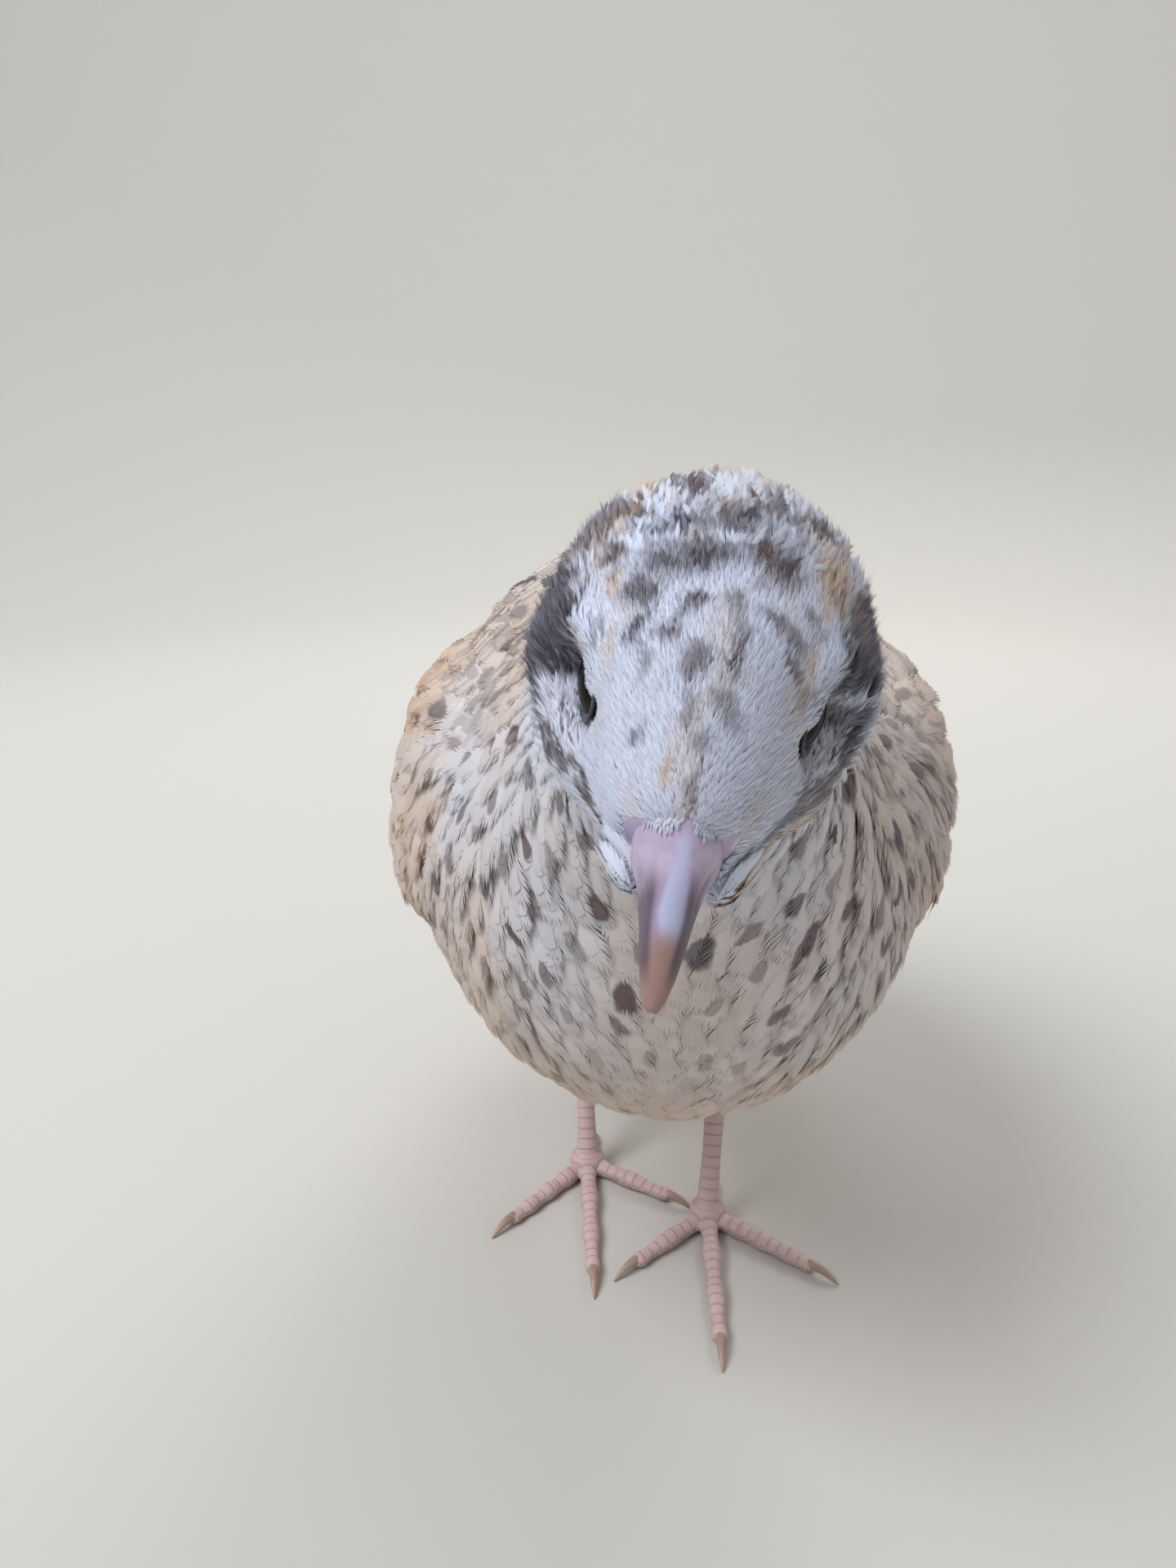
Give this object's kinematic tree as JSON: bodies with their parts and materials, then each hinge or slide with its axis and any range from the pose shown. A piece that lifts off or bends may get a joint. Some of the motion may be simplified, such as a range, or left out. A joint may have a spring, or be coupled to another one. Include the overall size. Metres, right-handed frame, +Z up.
{
  "type": "coturnix quail",
  "caption": "Small round ground bird standing on both feet with its neck stretched forward and its bill lowered, as a still life-size display model.",
  "frame": {"origin": "centre of the outer box on the floor under the feet", "axes": "the bird faces -Y, its left side is +X, +Z is up"},
  "size_m": [0.0692, 0.1585, 0.107],
  "materials": {
    "plumage": "soft feathers, white and cream with grey-brown spots",
    "feather": "flight and tail feathers, cream with grey-brown bars",
    "bill": "smooth horn, pink and lilac",
    "eye": "wet gloss, dark brown",
    "leg": "scaled pink skin",
    "claw": "horn, pale brown"
  },
  "bodies": {
    "root": {"torso": "plumage", "neck": "plumage", "head": "plumage", "thigh_left": "plumage", "thigh_right": "plumage", "wing_left": "feather", "wing_right": "feather", "tail": "feather", "bill_upper": "bill", "bill_lower": "bill", "eye_left": "eye", "eye_right": "eye", "shank_left": "leg", "shank_right": "leg", "toe_left_inner": "leg", "toe_left_middle": "leg", "toe_left_outer": "leg", "toe_left_hind": "leg", "toe_right_inner": "leg", "toe_right_middle": "leg", "toe_right_outer": "leg", "toe_right_hind": "leg", "claw_left_inner": "claw", "claw_left_middle": "claw", "claw_left_outer": "claw", "claw_left_hind": "claw", "claw_right_inner": "claw", "claw_right_middle": "claw", "claw_right_outer": "claw", "claw_right_hind": "claw"}
  },
  "joints": []
}
